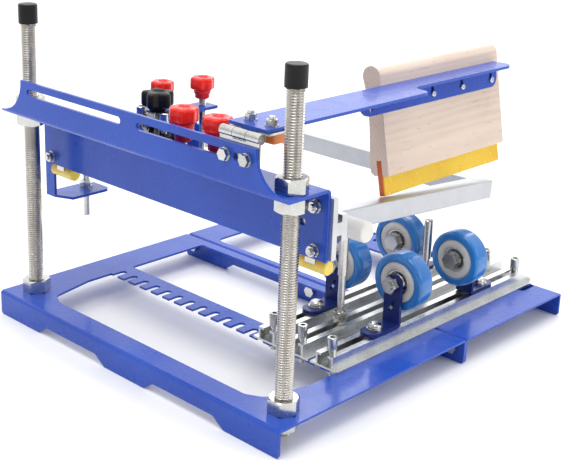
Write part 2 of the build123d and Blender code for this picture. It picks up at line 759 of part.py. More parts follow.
web_washer = washer(10.0, 5.0, 1.0)
web_bolt = dome_bolt(5.0, 8.5, 3.0, guide_base + beam_sheet + 7.0)
left_web_bolt = dome_bolt(5.0, 8.5, 3.0, guide_base + 2 * beam_sheet + 7.0)
with BuildPart() as web_fasteners:
    for z in web_bolt_zs:
        with Locations((web_bolt_x, guide_face, z)):
            add(web_bolt, rotation=TO_REAR)
        with Locations((-web_bolt_x, bracket_rear, z)):
            add(left_web_bolt, rotation=TO_REAR)
        with Locations((web_bolt_x, web_front, z), (-web_bolt_x, web_front, z)):
            add(web_washer, rotation=TO_FRONT)
        with Locations((web_bolt_x, web_front - 1.0, z), (-web_bolt_x, web_front - 1.0, z)):
            add(m5_nut, rotation=TO_FRONT)
finish(web_fasteners, "web_fasteners")

# cushions at the ends of the slide, each held in a saddle under the guide bar
bumper_y = beam_rear + bumper_dia / 2 + 0.5
bumper_z = guide_bottom - bumper_dia / 2 - saddle_roof
with BuildPart() as bumpers:
    for start in (-bumper_end, bumper_end - bumper_length):
        with BuildSketch(Plane.YZ.offset(start)):
            with Locations((bumper_y, bumper_z)):
                Circle(bumper_dia / 2)
        extrude(amount=bumper_length)
    chamfer(bumpers.edges().filter_by(GeomType.CIRCLE), 0.8)
finish(bumpers, "bumpers")
with BuildPart() as bumper_saddles:
    for mid in (-saddle_x, saddle_x):
        with BuildSketch(Plane.YZ.offset(mid - saddle_width / 2)):
            with Locations((bumper_y, (bumper_z + guide_bottom) / 2)):
                Rectangle(bumper_dia - 0.6, guide_bottom - bumper_z)
            with Locations((bumper_y, bumper_z)):
                Circle(bumper_dia / 2, mode=Mode.SUBTRACT)
        extrude(amount=saddle_width)
finish(bumper_saddles, "bumper_saddles")

# ---------------------------------------------------------------- knobs on the beam
def clamp_knob(x, y, top, dia, head, hub_dia, hub_bottom, stud_bottom_z, lobes, name):
    """Knob with a moulded-in stud, on a vertical axis."""
    shape = lobed_knob(dia, top - hub_bottom, hub_dia, top - hub_bottom - head, lobes)
    with BuildPart() as knob:
        with Locations((x, y, hub_bottom)):
            add(shape)
        with BuildSketch(Plane.XY.offset(stud_bottom_z)):
            with Locations((x, y)):
                Circle(knob_stud_dia / 2)
        extrude(amount=hub_bottom - stud_bottom_z)
    finish(knob, name)


for x, name in zip(flange_knob_xs, ("flange_knob_left", "flange_knob_right")):
    clamp_knob(x, flange_knob_y, flange_knob_top, 24.0, 12.0, 14.0, flange_knob_top - 26.0,
               flange_top - beam_sheet - 7.0, 7, name)

# ---------------------------------------------------------------- carriage
tilt = radians(frame_tilt)
frame_plane = Plane(origin=(0, frame_front, frame_front_top), x_dir=(1, 0, 0), z_dir=(0, sin(tilt), cos(tilt)))
slide_front = guide_face + slide_gap
slide_left = carriage_x - carriage_length / 2
slide_right = carriage_x + carriage_length / 2
with BuildPart() as carriage:
    with BuildSketch(Plane.YZ.offset(slide_left)):
        with Locations(((slide_front + carriage_rear) / 2, (slider_bottom + slider_top) / 2)):
            Rectangle(carriage_rear - slide_front, slider_top - slider_bottom)
        with Locations(((slide_front + stem_end) / 2 - 1, guide_head_z)):
            Rectangle(stem_end - slide_front + 2.5, guide_stem_height + 2 * slide_gap, mode=Mode.SUBTRACT)
        with Locations(((stem_end + head_end) / 2, guide_head_z)):
            Rectangle(guide_head + 2 * slide_gap, guide_head_height + 2 * slide_gap, mode=Mode.SUBTRACT)
        with Locations((slide_front + lip_thick / 2, (lip_bottom + slider_bottom) / 2)):
            Rectangle(lip_thick, slider_bottom - lip_bottom + EPS)
    extrude(amount=carriage_length)
    with Locations((lock_x, lock_y, slider_top)):
        Hole(knob_stud_dia / 2 + running_fit, depth=slider_top - guide_head_z - guide_head_height / 2)
finish(carriage, "carriage")

plate_rear = carriage_rear + beam_sheet
with BuildPart() as carriage_plate:
    with BuildSketch(Plane.XZ.offset(-carriage_rear)):
        with Locations((carriage_x, (plate_bottom + plate_top) / 2)):
            Rectangle(carriage_length, plate_top - plate_bottom)
        with Locations((clamp_right_x, (plate_top + high_tab) / 2)):
            Rectangle(tab_width, high_tab - plate_top + EPS)
        with Locations(*[(x, z) for x in plate_bolt_xs for z in (plate_bolt_z,)]):
            Circle(2.5 + fastener_gap, mode=Mode.SUBTRACT)
    extrude(amount=-beam_sheet)
    for x, z in ((clamp_left_x, plate_top), (clamp_right_x, high_tab)):
        with BuildSketch(Plane.XY.offset(z)):
            with Locations((x, (carriage_rear + tab_rear) / 2)):
                Rectangle(tab_width, tab_rear - carriage_rear)
            with Locations((x, clamp_y)):
                Circle(knob_stud_dia / 2 + running_fit, mode=Mode.SUBTRACT)
        extrude(amount=-beam_sheet)
    with BuildSketch(frame_plane.offset(-frame_tube)):
        with Locations((carriage_x, shelf_reach / 2 - 5.5)):
            Rectangle(carriage_length, shelf_reach)
    extrude(amount=-beam_sheet)
finish(carriage_plate, "carriage_plate")

with BuildPart() as carriage_bracket:
    with BuildSketch(Plane.XY.offset(bracket_top - 3.0)):
        with Locations(((cross_left + cross_right) / 2, (cross_front + carriage_rear) / 2)):
            Rectangle(cross_right - cross_left, carriage_rear - cross_front)
        with Locations((lock_x, lock_y)):
            Circle(knob_stud_dia / 2 + running_fit, mode=Mode.SUBTRACT)
        with Locations(*[(x, cross_bolt_y) for x in cross_bolt_xs]):
            Circle(2.5 + fastener_gap, mode=Mode.SUBTRACT)
    extrude(amount=3.0)
    with BuildSketch(Plane.XZ.offset(-carriage_rear)):
        with Locations(((cross_left + cross_right) / 2, (slider_top + bracket_top) / 2)):
            Rectangle(cross_right - cross_left, bracket_top - slider_top)
        with Locations(*[(x, plate_bolt_z) for x in plate_bolt_xs]):
            Circle(2.5 + fastener_gap, mode=Mode.SUBTRACT)
    extrude(amount=2.5)
finish(carriage_bracket, "carriage_bracket")

plate_screw = dome_bolt(5.0, 9.0, 3.0, 2 * beam_sheet + 5.0)
cross_screw = socket_bolt(5.0, 8.5, 6.0, 3.0 + 2.0 + 6.0)
cross_washer = washer(10.0, 5.0, 2.0)
with BuildPart() as carriage_fasteners:
    for x in plate_bolt_xs:
        with Locations((x, plate_rear, plate_bolt_z)):
            add(plate_screw, rotation=TO_REAR)
        with Locations((x, carriage_rear - 2.5, plate_bolt_z)):
            add(m5_nut, rotation=TO_FRONT)
    for x in cross_bolt_xs:
        with Locations((x, cross_bolt_y, bracket_top + 2.0)):
            add(cross_screw)
        with Locations((x, cross_bolt_y, bracket_top)):
            add(cross_washer)
        with Locations((x, cross_bolt_y, bracket_top - 7.0)):
            add(m5_nut)
finish(carriage_fasteners, "carriage_fasteners")

clamp_knob(lock_x, lock_y, lock_top, 30.0, 13.0, 12.0, lock_top - 17.0,
           guide_head_z + guide_head_height / 2 + slide_gap, 5, "lock_knob")

with BuildPart() as clamp_bar:
    with BuildSketch(frame_plane):
        with Locations((carriage_x, frame_tube / 2)):
            RectangleRounded(carriage_length, frame_tube - 4.0, 3.0)
    extrude(amount=bar_thick)
finish(clamp_bar, "clamp_bar")
bar_top = frame_front_top + (bar_thick - (clamp_y - frame_front) * sin(tilt)) / cos(tilt)
for x, top, name in ((clamp_left_x, left_knob_top, "clamp_knob_left"), (clamp_right_x, right_knob_top, "clamp_knob_right")):
    clamp_knob(x, clamp_y, top, 20.0, 10.0, 12.0, top - 17.5, bar_top + 2 * slide_gap, 6, name)

# ---------------------------------------------------------------- screen frame
with BuildPart() as screen_frame:
    with BuildSketch(frame_plane):
        with Locations(((frame_left + frame_right) / 2, frame_length / 2)):
            Rectangle(frame_right - frame_left, frame_length)
            Rectangle(frame_right - frame_left - 2 * frame_tube, frame_length - 2 * frame_tube, mode=Mode.SUBTRACT)
    extrude(amount=-frame_tube)
    fillet(screen_frame.edges().filter_by(lambda e: e.length > frame_tube + 1), 1.0)
    with BuildSketch(frame_plane.offset(-frame_wall)):
        with Locations(((frame_left + frame_right) / 2, frame_length / 2)):
            Rectangle(frame_right - frame_left - 2 * frame_wall, frame_length - 2 * frame_wall)
            Rectangle(frame_right - frame_left - 2 * frame_tube + 2 * frame_wall,
                      frame_length - 2 * frame_tube + 2 * frame_wall, mode=Mode.SUBTRACT)
    extrude(amount=-(frame_tube - 2 * frame_wall), mode=Mode.SUBTRACT)
    knob_axis = Plane(origin=frame_plane.from_local_coords(Vector(frame_right, side_knob_y, side_knob_z)),
                      x_dir=(0, 1, 0), z_dir=(1, 0, 0))
    with BuildSketch(knob_axis.offset(1)):
        Circle(2.5 + running_fit)
    extrude(amount=-frame_wall - 2, mode=Mode.SUBTRACT)
finish(screen_frame, "screen_frame")

with BuildPart() as frame_knob:
    with BuildSketch(knob_axis.offset(slide_gap)):
        Circle(side_knob_dia / 2)
    extrude(amount=side_knob_length)
    chamfer(frame_knob.edges().sort_by(Axis.X)[-1], 1.0)
    with BuildSketch(knob_axis.offset(slide_gap)):
        Circle(2.5)
    extrude(amount=-frame_wall - 5)
finish(frame_knob, "frame_knob")

# ---------------------------------------------------------------- hinge
wall_rear = wall_front + beam_sheet
leaf_rear = wall_rear + leaf_thick
arm_under = arm_top - arm_sheet
leaf_under = arm_under - leaf_thick
hinge_bolt_xs = (hinge_x - hinge_bolt_pitch / 2, hinge_x + hinge_bolt_pitch / 2)
knuckle_gap = 0.2
span = 2 * hinge_half / 3
with BuildPart() as hinge_wall_leaf:
    with BuildSketch(Plane.XZ.offset(-wall_rear)):
        with Locations((hinge_x, (leaf_bottom + hinge_z) / 2 - 2)):
            Rectangle(2 * hinge_half, hinge_z - leaf_bottom - 4)
        with Locations(*[(x, slot_z) for x in hinge_bolt_xs]):
            Circle(hinge_bolt_dia / 2 + fastener_gap, mode=Mode.SUBTRACT)
    extrude(amount=-leaf_thick)
    for start in (hinge_x - hinge_half, hinge_x + hinge_half - span + knuckle_gap):
        with BuildSketch(Plane.YZ.offset(start)):
            with Locations(((wall_rear + leaf_rear) / 2, hinge_z - 3)):
                Rectangle(leaf_thick, 6)
            with Locations((hinge_y, hinge_z)):
                Circle(knuckle_radius)
        extrude(amount=span - knuckle_gap)
    with BuildSketch(Plane.YZ.offset(hinge_x - hinge_half - 1)):
        with Locations((hinge_y, hinge_z)):
            Circle(hinge_pin_dia / 2)
    extrude(amount=2 * hinge_half + 2, mode=Mode.SUBTRACT)
    with BuildSketch(Plane.YZ.offset(hinge_x - span / 2)):
        with Locations((hinge_y, hinge_z)):
            Circle(knuckle_radius + knuckle_gap)
    extrude(amount=span, mode=Mode.SUBTRACT)
finish(hinge_wall_leaf, "hinge_wall_leaf")

with BuildPart() as hinge_arm_leaf:
    with BuildSketch(Plane.YZ.offset(hinge_x - span / 2 + knuckle_gap)):
        with Locations((hinge_y, hinge_z)):
            Circle(knuckle_radius)
        with Locations((hinge_y + 3, (leaf_under + arm_under) / 2)):
            Rectangle(6, leaf_thick)
    extrude(amount=span - 2 * knuckle_gap)
    with BuildSketch(Plane.XY.offset(leaf_under)):
        with Locations((hinge_x, (arm_front + arm_leaf_rear) / 2)):
            Rectangle(2 * hinge_half, arm_leaf_rear - arm_front)
        with Locations((hinge_x, arm_front - 1)):
            Rectangle(span - 2 * knuckle_gap, 8)
        with Locations(*[(x, arm_bolt_y) for x in hinge_bolt_xs]):
            Circle(hinge_bolt_dia / 2, mode=Mode.SUBTRACT)
    extrude(amount=leaf_thick)
    with BuildSketch(Plane.YZ.offset(hinge_x - hinge_half)):
        with Locations((hinge_y, hinge_z)):
            Circle(hinge_pin_dia / 2 + running_fit)
    extrude(amount=2 * hinge_half, mode=Mode.SUBTRACT)
finish(hinge_arm_leaf, "hinge_arm_leaf")

with BuildPart() as hinge_pin:
    with BuildSketch(Plane.YZ.offset(hinge_x - hinge_half - 0.6)):
        with Locations((hinge_y, hinge_z)):
            Circle(hinge_pin_dia / 2)
    extrude(amount=2 * hinge_half + 1.2)
finish(hinge_pin, "hinge_pin")

wall_bolt = hex_bolt(hinge_bolt_dia, 8.0, 3.5, beam_sheet + leaf_thick + 5.5)
wall_washer = washer(10.0, hinge_bolt_dia, 1.0)
with BuildPart() as hinge_wall_fasteners:
    for x in hinge_bolt_xs:
        with Locations((x, wall_front - 1.0, slot_z)):
            add(wall_bolt, rotation=TO_FRONT)
        with Locations((x, wall_front, slot_z)):
            add(wall_washer, rotation=TO_FRONT)
        with Locations((x, leaf_rear, slot_z)):
            add(m5_nut, rotation=TO_REAR)
finish(hinge_wall_fasteners, "hinge_wall_fasteners")

arm_stud = rod_part(hinge_bolt_dia, -arm_sheet - leaf_thick, 7.0)
with BuildPart() as hinge_arm_fasteners:
    for x in hinge_bolt_xs:
        with Locations((x, arm_bolt_y, arm_top)):
            add(arm_stud)
            add(wall_washer)
        with Locations((x, arm_bolt_y, arm_top + 1.0)):
            add(m5_nut)
finish(hinge_arm_fasteners, "hinge_arm_fasteners")

# ---------------------------------------------------------------- squeegee arm
lean = radians(squeegee_lean)
face_plane = Plane(origin=(arm_left, 0, arm_top), x_dir=(0, 1, 0), z_dir=(cos(lean), 0, sin(lean)))
lean_plane = Plane(origin=face_plane.from_local_coords(Vector(0, 0, -slide_gap)),
                   x_dir=(cos(lean), 0, sin(lean)), z_dir=(0, -1, 0))
arm_right = arm_left + arm_width
with BuildPart() as squeegee_arm:
    with BuildSketch(Plane.XY.offset(arm_under)) as top_sheet:
        with BuildLine():
            Polyline((arm_left, arm_front), (arm_right, arm_front), (arm_right, arm_step),
                     (arm_left + arm_narrow, arm_step), (arm_left + arm_narrow, arm_tip), (arm_left, arm_tip),
                     close=True)
        make_face()
        fillet(top_sheet.vertices().filter_by(lambda v: v.Y > arm_tip - 1), arm_narrow * 0.45)
        fillet(top_sheet.vertices().filter_by(lambda v: abs(v.Y - arm_step) < 0.1), 7)
        with Locations(*[(x, arm_bolt_y) for x in hinge_bolt_xs]):
            Circle(hinge_bolt_dia / 2, mode=Mode.SUBTRACT)
    extrude(amount=arm_sheet)
    with BuildSketch(face_plane) as side_sheet:
        with Locations(((arm_flange_start + arm_flange_end) / 2, -arm_flange / 2)):
            Rectangle(arm_flange_end - arm_flange_start, arm_flange)
        lower = side_sheet.vertices().filter_by(lambda v: v.Y < -arm_flange + 0.1)
        fillet(lower, arm_flange * 0.45)
        with Locations(*[(y, slot_drop) for y in squeegee_screw_ys]):
            SlotOverall(arm_slot, screw_slot_width, rotation=90, mode=Mode.SUBTRACT)
        with Locations((arm_flange_start + 12.0, slot_drop - 3.0)):
            Circle(2.5, mode=Mode.SUBTRACT)
        with Locations((21.0, slot_drop)):
            Circle(1.5, mode=Mode.SUBTRACT)
    extrude(amount=arm_sheet)
    with BuildSketch(Plane.XY.offset(arm_top)):
        with Locations((arm_left + arm_width / 2, (arm_front + arm_tip) / 2)):
            Rectangle(3 * arm_width, arm_tip - arm_front + 2)
    extrude(amount=5, mode=Mode.SUBTRACT)
    with BuildSketch(face_plane):
        with Locations(((arm_front + arm_tip) / 2, 0)):
            Rectangle(arm_tip - arm_front + 2, 4 * arm_sheet)
    extrude(amount=-5, mode=Mode.SUBTRACT)
finish(squeegee_arm, "squeegee_arm")

with BuildPart() as arm_pad:
    with BuildSketch(Plane.XY.offset(leaf_under)):
        with Locations((pad_x, arm_bolt_y)):
            RectangleRounded(11.0, 13.0, 1.5)
    extrude(amount=-7.0)
finish(arm_pad, "arm_pad")

# wooden holder with a slot for the blade in its lower edge
with BuildPart() as squeegee_handle:
    with BuildSketch(lean_plane.offset(-squeegee_near)) as grip:
        with BuildLine():
            right_face = Line((0, -handle_below), (0, 6.0))
            crown = ThreePointArc((0, 6.0), (-handle_thick / 2, handle_above + 1.5), (-handle_thick, 5.0))
            left_face = Spline((-handle_thick, 5.0), (-handle_neck - 0.4, -10.0), (-handle_neck, -22.0),
                               (-handle_neck - 0.9, -38.0), (-handle_thick - 0.9, -handle_below + 3.0))
            Polyline((-handle_thick - 0.9, -handle_below + 3.0), (-handle_thick + 2.0, -handle_below),
                     (0, -handle_below))
        make_face()
        with Locations((blade_offset, -handle_below + blade_slot / 2)):
            Rectangle(blade_thick, blade_slot + EPS, mode=Mode.SUBTRACT)
    extrude(amount=-squeegee_length)
    with Locations(*[face_plane * Pos(y, -squeegee_screw_drop, -slide_gap) for y in squeegee_screw_ys]):
        Hole(screw_dia / 2, depth=screw_depth)
finish(squeegee_handle, "squeegee_handle")

with BuildPart() as squeegee_blade:
    with BuildSketch(lean_plane.offset(-squeegee_near)):
        with Locations((blade_offset, -(handle_below - blade_slot + blade_bottom) / 2)):
            Rectangle(blade_thick, blade_bottom - handle_below + blade_slot)
    extrude(amount=-squeegee_length)
finish(squeegee_blade, "squeegee_blade")

wood_screw = dome_bolt(screw_dia, screw_slot_width + 1.8, 1.8, arm_sheet + slide_gap + screw_depth - 0.5)
with BuildPart() as squeegee_screws:
    for y in squeegee_screw_ys:
        with Locations(face_plane * Pos(y, -squeegee_screw_drop, arm_sheet + slide_gap)):
            add(wood_screw)
finish(squeegee_screws, "squeegee_screws")
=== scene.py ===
import math

import bmesh
import bpy
from mathutils import Matrix, Vector


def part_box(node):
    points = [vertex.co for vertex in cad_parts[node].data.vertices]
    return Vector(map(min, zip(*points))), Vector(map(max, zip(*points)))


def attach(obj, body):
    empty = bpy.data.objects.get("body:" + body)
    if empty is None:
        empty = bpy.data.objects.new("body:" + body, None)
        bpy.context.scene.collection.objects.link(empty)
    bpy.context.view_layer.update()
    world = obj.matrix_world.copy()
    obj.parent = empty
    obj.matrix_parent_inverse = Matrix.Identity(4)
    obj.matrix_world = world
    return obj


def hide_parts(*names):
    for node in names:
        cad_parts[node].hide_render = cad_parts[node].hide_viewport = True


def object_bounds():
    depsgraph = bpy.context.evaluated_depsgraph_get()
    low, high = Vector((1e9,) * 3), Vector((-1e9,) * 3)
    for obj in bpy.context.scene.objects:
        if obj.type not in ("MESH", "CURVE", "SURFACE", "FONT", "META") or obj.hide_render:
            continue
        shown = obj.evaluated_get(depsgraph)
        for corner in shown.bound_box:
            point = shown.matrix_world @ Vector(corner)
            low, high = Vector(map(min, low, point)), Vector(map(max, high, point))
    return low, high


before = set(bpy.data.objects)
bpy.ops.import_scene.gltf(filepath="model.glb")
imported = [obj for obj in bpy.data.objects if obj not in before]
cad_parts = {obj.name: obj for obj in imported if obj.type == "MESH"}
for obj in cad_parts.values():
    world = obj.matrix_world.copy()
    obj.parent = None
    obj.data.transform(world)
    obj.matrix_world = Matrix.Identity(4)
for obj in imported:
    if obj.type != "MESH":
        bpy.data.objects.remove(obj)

cad_box = [list(corner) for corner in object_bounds()]
MM = 0.001


# ---------------------------------------------------------------- shader writing
class Value:
    """A node socket that can be used in sums."""

    def __init__(self, recipe, socket):
        self.recipe = recipe
        self.socket = socket

    def _math(self, operation, a, b=None):
        return self.recipe.node("ShaderNodeMath", {"operation": operation}, {0: a, 1: b})

    def __add__(self, other):
        return self._math("ADD", self, other)

    def __radd__(self, other):
        return self._math("ADD", other, self)

    def __sub__(self, other):
        return self._math("SUBTRACT", self, other)

    def __rsub__(self, other):
        return self._math("SUBTRACT", other, self)

    def __mul__(self, other):
        return self._math("MULTIPLY", self, other)

    def __rmul__(self, other):
        return self._math("MULTIPLY", other, self)


class Recipe:
    """One finish: a principled surface whose parts are written as expressions."""

    def __init__(self, name):
        self.material = bpy.data.materials.new(name)
        self.material.use_nodes = True
        self.tree = self.material.node_tree
        self.tree.nodes.clear()
        self.out = self.tree.nodes.new("ShaderNodeOutputMaterial")
        self.surface = self.tree.nodes.new("ShaderNodeBsdfPrincipled")
        self.tree.links.new(self.surface.outputs["BSDF"], self.out.inputs["Surface"])
        place = self.tree.nodes.new("ShaderNodeTexCoord")
        self.place = Value(self, place.outputs["Object"])

    def node(self, kind, settings, values, output=0):
        made = self.tree.nodes.new(kind)
        for key, value in settings.items():
            if key == "stops":
                ramp = made.color_ramp
                while len(ramp.elements) < len(value):
                    ramp.elements.new(0.5)
                for element, (at, colour) in zip(ramp.elements, value):
                    element.position = at
                    element.color = (*colour, 1)
            else:
                setattr(made, key, value)
        for key, value in values.items():
            if value is None:
                continue
            self.give(made.inputs[key], value)
        return Value(self, made.outputs[output])

    def give(self, socket, value):
        """Links a socket to a Value, or sets the number or colour on it."""
        if isinstance(value, Value):
            self.tree.links.new(value.socket, socket)
        elif socket.type == "RGBA":
            socket.default_value = (*value, 1)
        else:
            socket.default_value = value

    def at(self, scale, turn=(0, 0, 0), centre=(0, 0, 0)):
        """Object coordinates, scaled and turned."""
        return self.node("ShaderNodeMapping", {}, {"Vector": self.place, "Location": centre,
                                                   "Rotation": turn, "Scale": scale})

    def noise(self, scale, detail=3.0, rough=0.5, where=None):
        return self.node("ShaderNodeTexNoise", {}, {"Vector": where or self.place, "Scale": scale,
                                                    "Detail": detail, "Roughness": rough})

    def ramp(self, amount, stops):
        return self.node("ShaderNodeValToRGB", {"stops": stops}, {"Fac": amount})

    def blend(self, amount, a, b):
        """Mix of two colours."""
        return self.node("ShaderNodeMix", {"data_type": "RGBA"}, {0: amount, 6: a, 7: b}, 2)

    def range(self, amount, low, high, to_low, to_high):
        return self.node("ShaderNodeMapRange", {}, {"Value": amount, 1: low, 2: high, 3: to_low, 4: to_high})

    def bump(self, height, distance, strength=1.0):
        made = self.node("ShaderNodeBump", {}, {"Height": height, "Distance": distance, "Strength": strength})
        self.set(Normal=made)

    def set(self, **values):
        for key, value in values.items():
            self.give(self.surface.inputs[key.replace("_", " ")], value)


def powder_coat(name, deep, bright, rough=0.26):
    """Glossy powder coat: fine orange peel, soft cloudy colour, faint rubbing."""
    m = Recipe(name)
    cloud = m.noise(9, 3)
    rub = m.range(m.noise(160, 5, 0.7), 0.62, 0.76, 0.0, 0.12)
    paint = m.ramp(cloud, [(0.30, deep), (0.72, bright)])
    m.set(Base_Color=m.blend(rub, paint, tuple(min(1, c * 1.5 + 0.02) for c in bright)))
    m.set(Roughness=m.range(m.noise(60, 4), 0.3, 0.7, rough - 0.05, rough + 0.09))
    m.set(Coat_Weight=0.5, Coat_Roughness=0.10, Coat_IOR=1.3, IOR=1.3)
    m.bump(m.noise(900, 3, 0.55), 0.00005, 0.35)
    return m.material


def bare_metal(name, dark, light, rough, stretch=(1, 1, 1), grain=700, depth=0.00003):
    """Plated or cut metal; stretch draws the grain out along one direction."""
    m = Recipe(name)
    where = m.at(stretch)
    fine = m.noise(grain, 4, 0.65, where)
    stain = m.noise(40, 4, 0.6)
    m.set(Base_Color=m.ramp(fine * 0.45 + stain * 0.55, [(0.32, dark), (0.66, light)]))
    m.set(Metallic=1.0)
    m.set(Roughness=m.range(fine * 0.5 + stain * 0.5, 0.3, 0.7, rough - 0.07, rough + 0.10))
    m.bump(fine, depth, 0.5)
    return m.material


def moulding(name, dark, light, rough, coat=0.0, pebble=1500, depth=0.00002, gloss=0.5):
    """Moulded plastic with a faint pebbled skin and slight colour drift."""
    m = Recipe(name)
    m.set(Base_Color=m.ramp(m.noise(35, 4), [(0.30, dark), (0.70, light)]))
    m.set(Roughness=m.range(m.noise(180, 4), 0.3, 0.7, rough - 0.05, rough + 0.08))
    m.set(Coat_Weight=coat, Coat_Roughness=0.08, Specular_IOR_Level=gloss)
    m.bump(m.noise(pebble, 2), depth, 0.5)
    return m.material


blue_coat = powder_coat("blue_powder_coat", (0.014, 0.062, 0.40), (0.024, 0.088, 0.50))
# The wheel brackets take the same blue powder coat made much darker: painted shade for where they sit under the
# base.
shaded_blue_coat = powder_coat("blue_powder_coat_painted_shade", (0.006, 0.014, 0.10), (0.010, 0.024, 0.16), 0.30)
zinc_plate = bare_metal("zinc_plate", (0.40, 0.40, 0.39), (0.70, 0.70, 0.68), 0.18)
rod_steel = bare_metal("rolled_rod_steel", (0.48, 0.46, 0.43), (0.68, 0.66, 0.62), 0.22, (1, 1, 1), 300, 0.00001)
turned_steel = bare_metal("turned_steel", (0.42, 0.41, 0.39), (0.74, 0.72, 0.69), 0.24, (1, 1, 8), 500)
bright_rail = bare_metal("extruded_aluminium", (0.54, 0.55, 0.55), (0.76, 0.77, 0.77), 0.28, (12, 0.35, 12), 160)
bright_bar = bare_metal("drawn_aluminium", (0.46, 0.47, 0.49), (0.64, 0.65, 0.66), 0.30, (0.35, 12, 12), 160)
frame_metal = bare_metal("satin_aluminium", (0.46, 0.47, 0.50), (0.58, 0.59, 0.62), 0.38, (3, 3, 3), 220)
black_steel = powder_coat("black_coat", (0.010, 0.010, 0.011), (0.020, 0.020, 0.022), 0.34)
red_moulding = moulding("red_knob_plastic", (0.74, 0.010, 0.008), (0.90, 0.020, 0.016), 0.26, 0.2, gloss=0.3)
black_moulding = moulding("black_knob_plastic", (0.003, 0.003, 0.004), (0.008, 0.008, 0.009), 0.36, 0.0, gloss=0.28)
nylon = moulding("white_nylon", (0.66, 0.65, 0.61), (0.82, 0.81, 0.77), 0.42)
hub_plastic = moulding("grey_hub_plastic", (0.46, 0.45, 0.43), (0.62, 0.61, 0.58), 0.45)
pad_rubber = moulding("clear_rubber_pads", (0.30, 0.32, 0.34), (0.48, 0.50, 0.52), 0.35)
tyre_rubber = moulding("blue_polyurethane", (0.006, 0.120, 0.40), (0.012, 0.190, 0.56), 0.20, 0.45)
bumper_rubber = moulding("yellow_polyurethane", (0.72, 0.50, 0.05), (0.88, 0.68, 0.12), 0.30, 0.2)
orange_rubber = moulding("orange_rubber", (0.62, 0.14, 0.03), (0.80, 0.24, 0.05), 0.40)
bumper_rubber.node_tree.nodes["Principled BSDF"].inputs["Subsurface Weight"].default_value = 0.25


def blade_finish():
    """Translucent yellow blade, blended to orange-red over the first 2.5 mm from its low-Y end."""
    m = Recipe("squeegee_blade")
    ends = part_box("squeegee_blade")
    along = m.node("ShaderNodeSeparateXYZ", {}, {0: m.place}, 1)
    near = m.range(along, ends[0][1] + 0.0001, ends[0][1] + 0.0025, 1.0, 0.0)
    cloud = m.noise(22, 3)
    body = m.ramp(cloud, [(0.3, (0.90, 0.58, 0.02)), (0.7, (0.98, 0.68, 0.05))])
    m.set(Base_Color=m.blend(near, body, (0.72, 0.13, 0.02)))
    m.set(Roughness=m.range(m.noise(120, 3), 0.3, 0.7, 0.16, 0.30))
    m.set(Transmission_Weight=0.30, IOR=1.40, Coat_Weight=0.1, Coat_Roughness=0.10)
    m.set(Subsurface_Weight=0.2, Subsurface_Radius=(0.006, 0.004, 0.001), Subsurface_Scale=0.5)
    m.bump(m.noise(260, 2), 0.00003, 0.4)
    return m.material


def wood_finish():
    """Pale pinkish beech, grain along Y, with growth rings on the sawn ends."""
    m = Recipe("planed_beech")
    wave = m.noise(1.0, 5, 0.6, m.at((38, 7.0, 26), (0.12, 0.19, 0)))
    fibre = m.noise(1.0, 5, 0.7, m.at((900, 14, 900)))
    flecks = m.noise(1.0, 3, 0.6, m.at((420, 60, 420)))
    rings = m.node("ShaderNodeTexWave", {"wave_type": "RINGS", "rings_direction": "Y"},
                   {"Vector": m.at((1, 0.05, 1), (0, 0, 0), (-0.060, 0, -0.150)), "Scale": 85.0, "Distortion": 4.0,
                    "Detail": 3.0, "Detail Scale": 1.4}, 1)
    tone = wave * 0.60 + fibre * 0.28 + rings * 0.12
    base = m.ramp(tone, [(0.22, (0.56, 0.42, 0.33)), (0.50, (0.70, 0.565, 0.465)), (0.78, (0.77, 0.64, 0.54))])
    m.set(Base_Color=m.blend(m.range(flecks, 0.62, 0.70, 0.0, 0.35), base, (0.33, 0.20, 0.14)))
    m.set(Roughness=m.range(fibre, 0.3, 0.7, 0.36, 0.52))
    m.set(Coat_Weight=0.12, Coat_Roughness=0.25)
    m.bump(fibre * 0.7 + wave * 0.3, 0.00008, 0.5)
    return m.material


squeegee_yellow = blade_finish()
beech = wood_finish()

finishes = {
    "base_front_plate": blue_coat, "base_rear_plate": blue_coat, "beam": blue_coat, "left_bracket": blue_coat,
    "carriage_plate": blue_coat, "squeegee_arm": blue_coat,
    "base_joint_fasteners": zinc_plate, "rod_base_nuts": zinc_plate, "beam_nuts": zinc_plate,
    "rail_fasteners": zinc_plate, "adjusting_fasteners": zinc_plate, "web_fasteners": zinc_plate,
    "carriage_fasteners": zinc_plate, "hinge_wall_leaf": zinc_plate, "hinge_arm_leaf": zinc_plate,
    "hinge_pin": zinc_plate, "hinge_wall_fasteners": zinc_plate, "hinge_arm_fasteners": zinc_plate,
    "squeegee_screws": zinc_plate, "clamp_bar": turned_steel, "bumper_saddles": turned_steel,
    "stop_pin_front": turned_steel, "stop_pin_rear": turned_steel,
    "left_rail": bright_rail, "middle_rail": bright_rail, "right_rail": bright_rail,
    "guide_rail": bright_bar, "carriage": bright_bar, "screen_frame": frame_metal,
    "carriage_bracket": black_steel, "rod_caps": black_moulding, "foot_pads": pad_rubber,
    "frame_knob": nylon, "bumpers": bumper_rubber, "arm_pad": orange_rubber,
    "squeegee_handle": beech, "squeegee_blade": squeegee_yellow,
    "left_threaded_rod": rod_steel, "right_threaded_rod": rod_steel,
    "lock_knob": black_moulding, "clamp_knob_left": red_moulding, "clamp_knob_right": red_moulding,
    "flange_knob_left": red_moulding, "flange_knob_right": red_moulding,
}
for corner in ("front_right", "front_left", "rear_right", "rear_left"):
    finishes[f"wheel_tyre_{corner}"] = tyre_rubber
    finishes[f"wheel_hub_{corner}"] = hub_plastic
    # wheel brackets: the blue coat darkened as painted shade
    finishes[f"wheel_bracket_{corner}"] = shaded_blue_coat
    finishes[f"wheel_bolts_{corner}"] = zinc_plate
for node_name, finish in finishes.items():
    for material_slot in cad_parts[node_name].material_slots:
        material_slot.material = finish


